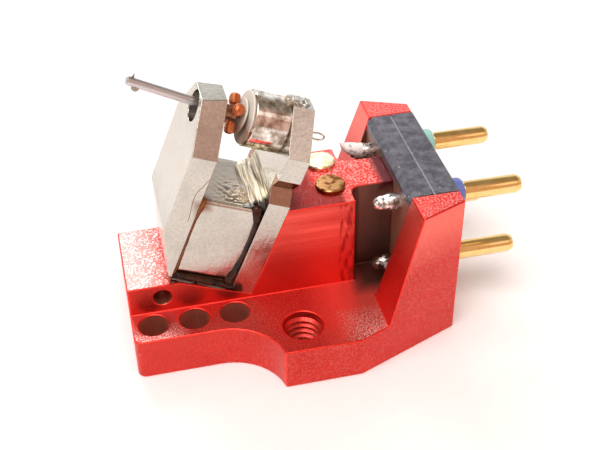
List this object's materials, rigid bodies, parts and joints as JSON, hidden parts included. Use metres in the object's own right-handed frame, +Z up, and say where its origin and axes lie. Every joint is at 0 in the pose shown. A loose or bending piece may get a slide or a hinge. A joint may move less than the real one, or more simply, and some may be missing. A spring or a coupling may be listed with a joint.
{
  "type": "moving-coil phono cartridge",
  "caption": "Open-frame phono cartridge: machined plate with screw holes, magnet and yokes, sprung cantilever with diamond stylus, contact pins at the rear.",
  "frame": {"origin": "midway between the two mounting screws, on the mounting face", "axes": "+X to the contact pins, +Y across, +Z up from the mounting face to the stylus"},
  "size_m": [0.0254, 0.0172, 0.0183],
  "materials": {
    "anodised_aluminium": "red anodised, bead blasted",
    "block_plastic": "moulded, satin",
    "nickel_plate": "nickel plated, satin",
    "polished_pole": "turned and polished",
    "screw_steel": "bright steel",
    "damper_rubber": "dark grey rubber",
    "former_iron": "soft iron",
    "copper_winding": "enamelled copper wire",
    "cantilever_rod": "drawn, satin",
    "diamond": "cut and polished",
    "clear_glue": "cured drop",
    "gold_plate": "gold plated, polished",
    "brown_glue": "cured, glossy",
    "amber_glue": "cured, glossy",
    "solder": "bright solder",
    "collar_green": "moulded",
    "collar_blue": "moulded",
    "collar_red": "moulded",
    "collar_white": "moulded"
  },
  "bodies": {
    "cartridge": {"body": "anodised_aluminium", "terminal_block": "block_plastic", "front_yoke": "nickel_plate", "magnet": "nickel_plate", "rear_yoke": "nickel_plate", "pole": "polished_pole", "set_screw": "screw_steel", "wire_holder": "screw_steel", "suspension_wire": "screw_steel", "damper_rear": "damper_rubber", "stud_near": "gold_plate", "stud_far": "gold_plate", "adhesive_pad": "brown_glue", "adhesive_fillet": "amber_glue", "pin_left_hot": "gold_plate", "collar_left_hot": "collar_green", "solder_left_hot": "solder", "pin_left_return": "gold_plate", "collar_left_return": "collar_blue", "solder_left_return": "solder", "pin_right_hot": "gold_plate", "collar_right_hot": "collar_red", "solder_right_hot": "solder", "pin_right_return": "gold_plate", "collar_right_return": "collar_white", "solder_right_return": "solder"},
    "damper": {"damper_front": "damper_rubber"},
    "moving_coil": {"coil_former": "former_iron", "joint_pipe": "former_iron", "coil_left": "copper_winding", "coil_right": "copper_winding", "cantilever": "cantilever_rod", "stylus": "diamond", "stylus_glue": "clear_glue"}
  },
  "joints": [
    {"name": "vertical_tracking", "type": "hinge", "parent": "cartridge", "child": "damper", "pos_m": [-0.00215, 0, 0.01452], "axis": [0, -1, 0], "range_deg": [-1.5, 4], "stiffness_Nm_per_rad": 0.005},
    {"name": "lateral_tracking", "type": "hinge", "parent": "damper", "child": "moving_coil", "pos_m": [-0.00215, 0, 0.01452], "axis": [0.4617, 0, 0.887], "range_deg": [-3, 3], "stiffness_Nm_per_rad": 0.005}
  ]
}
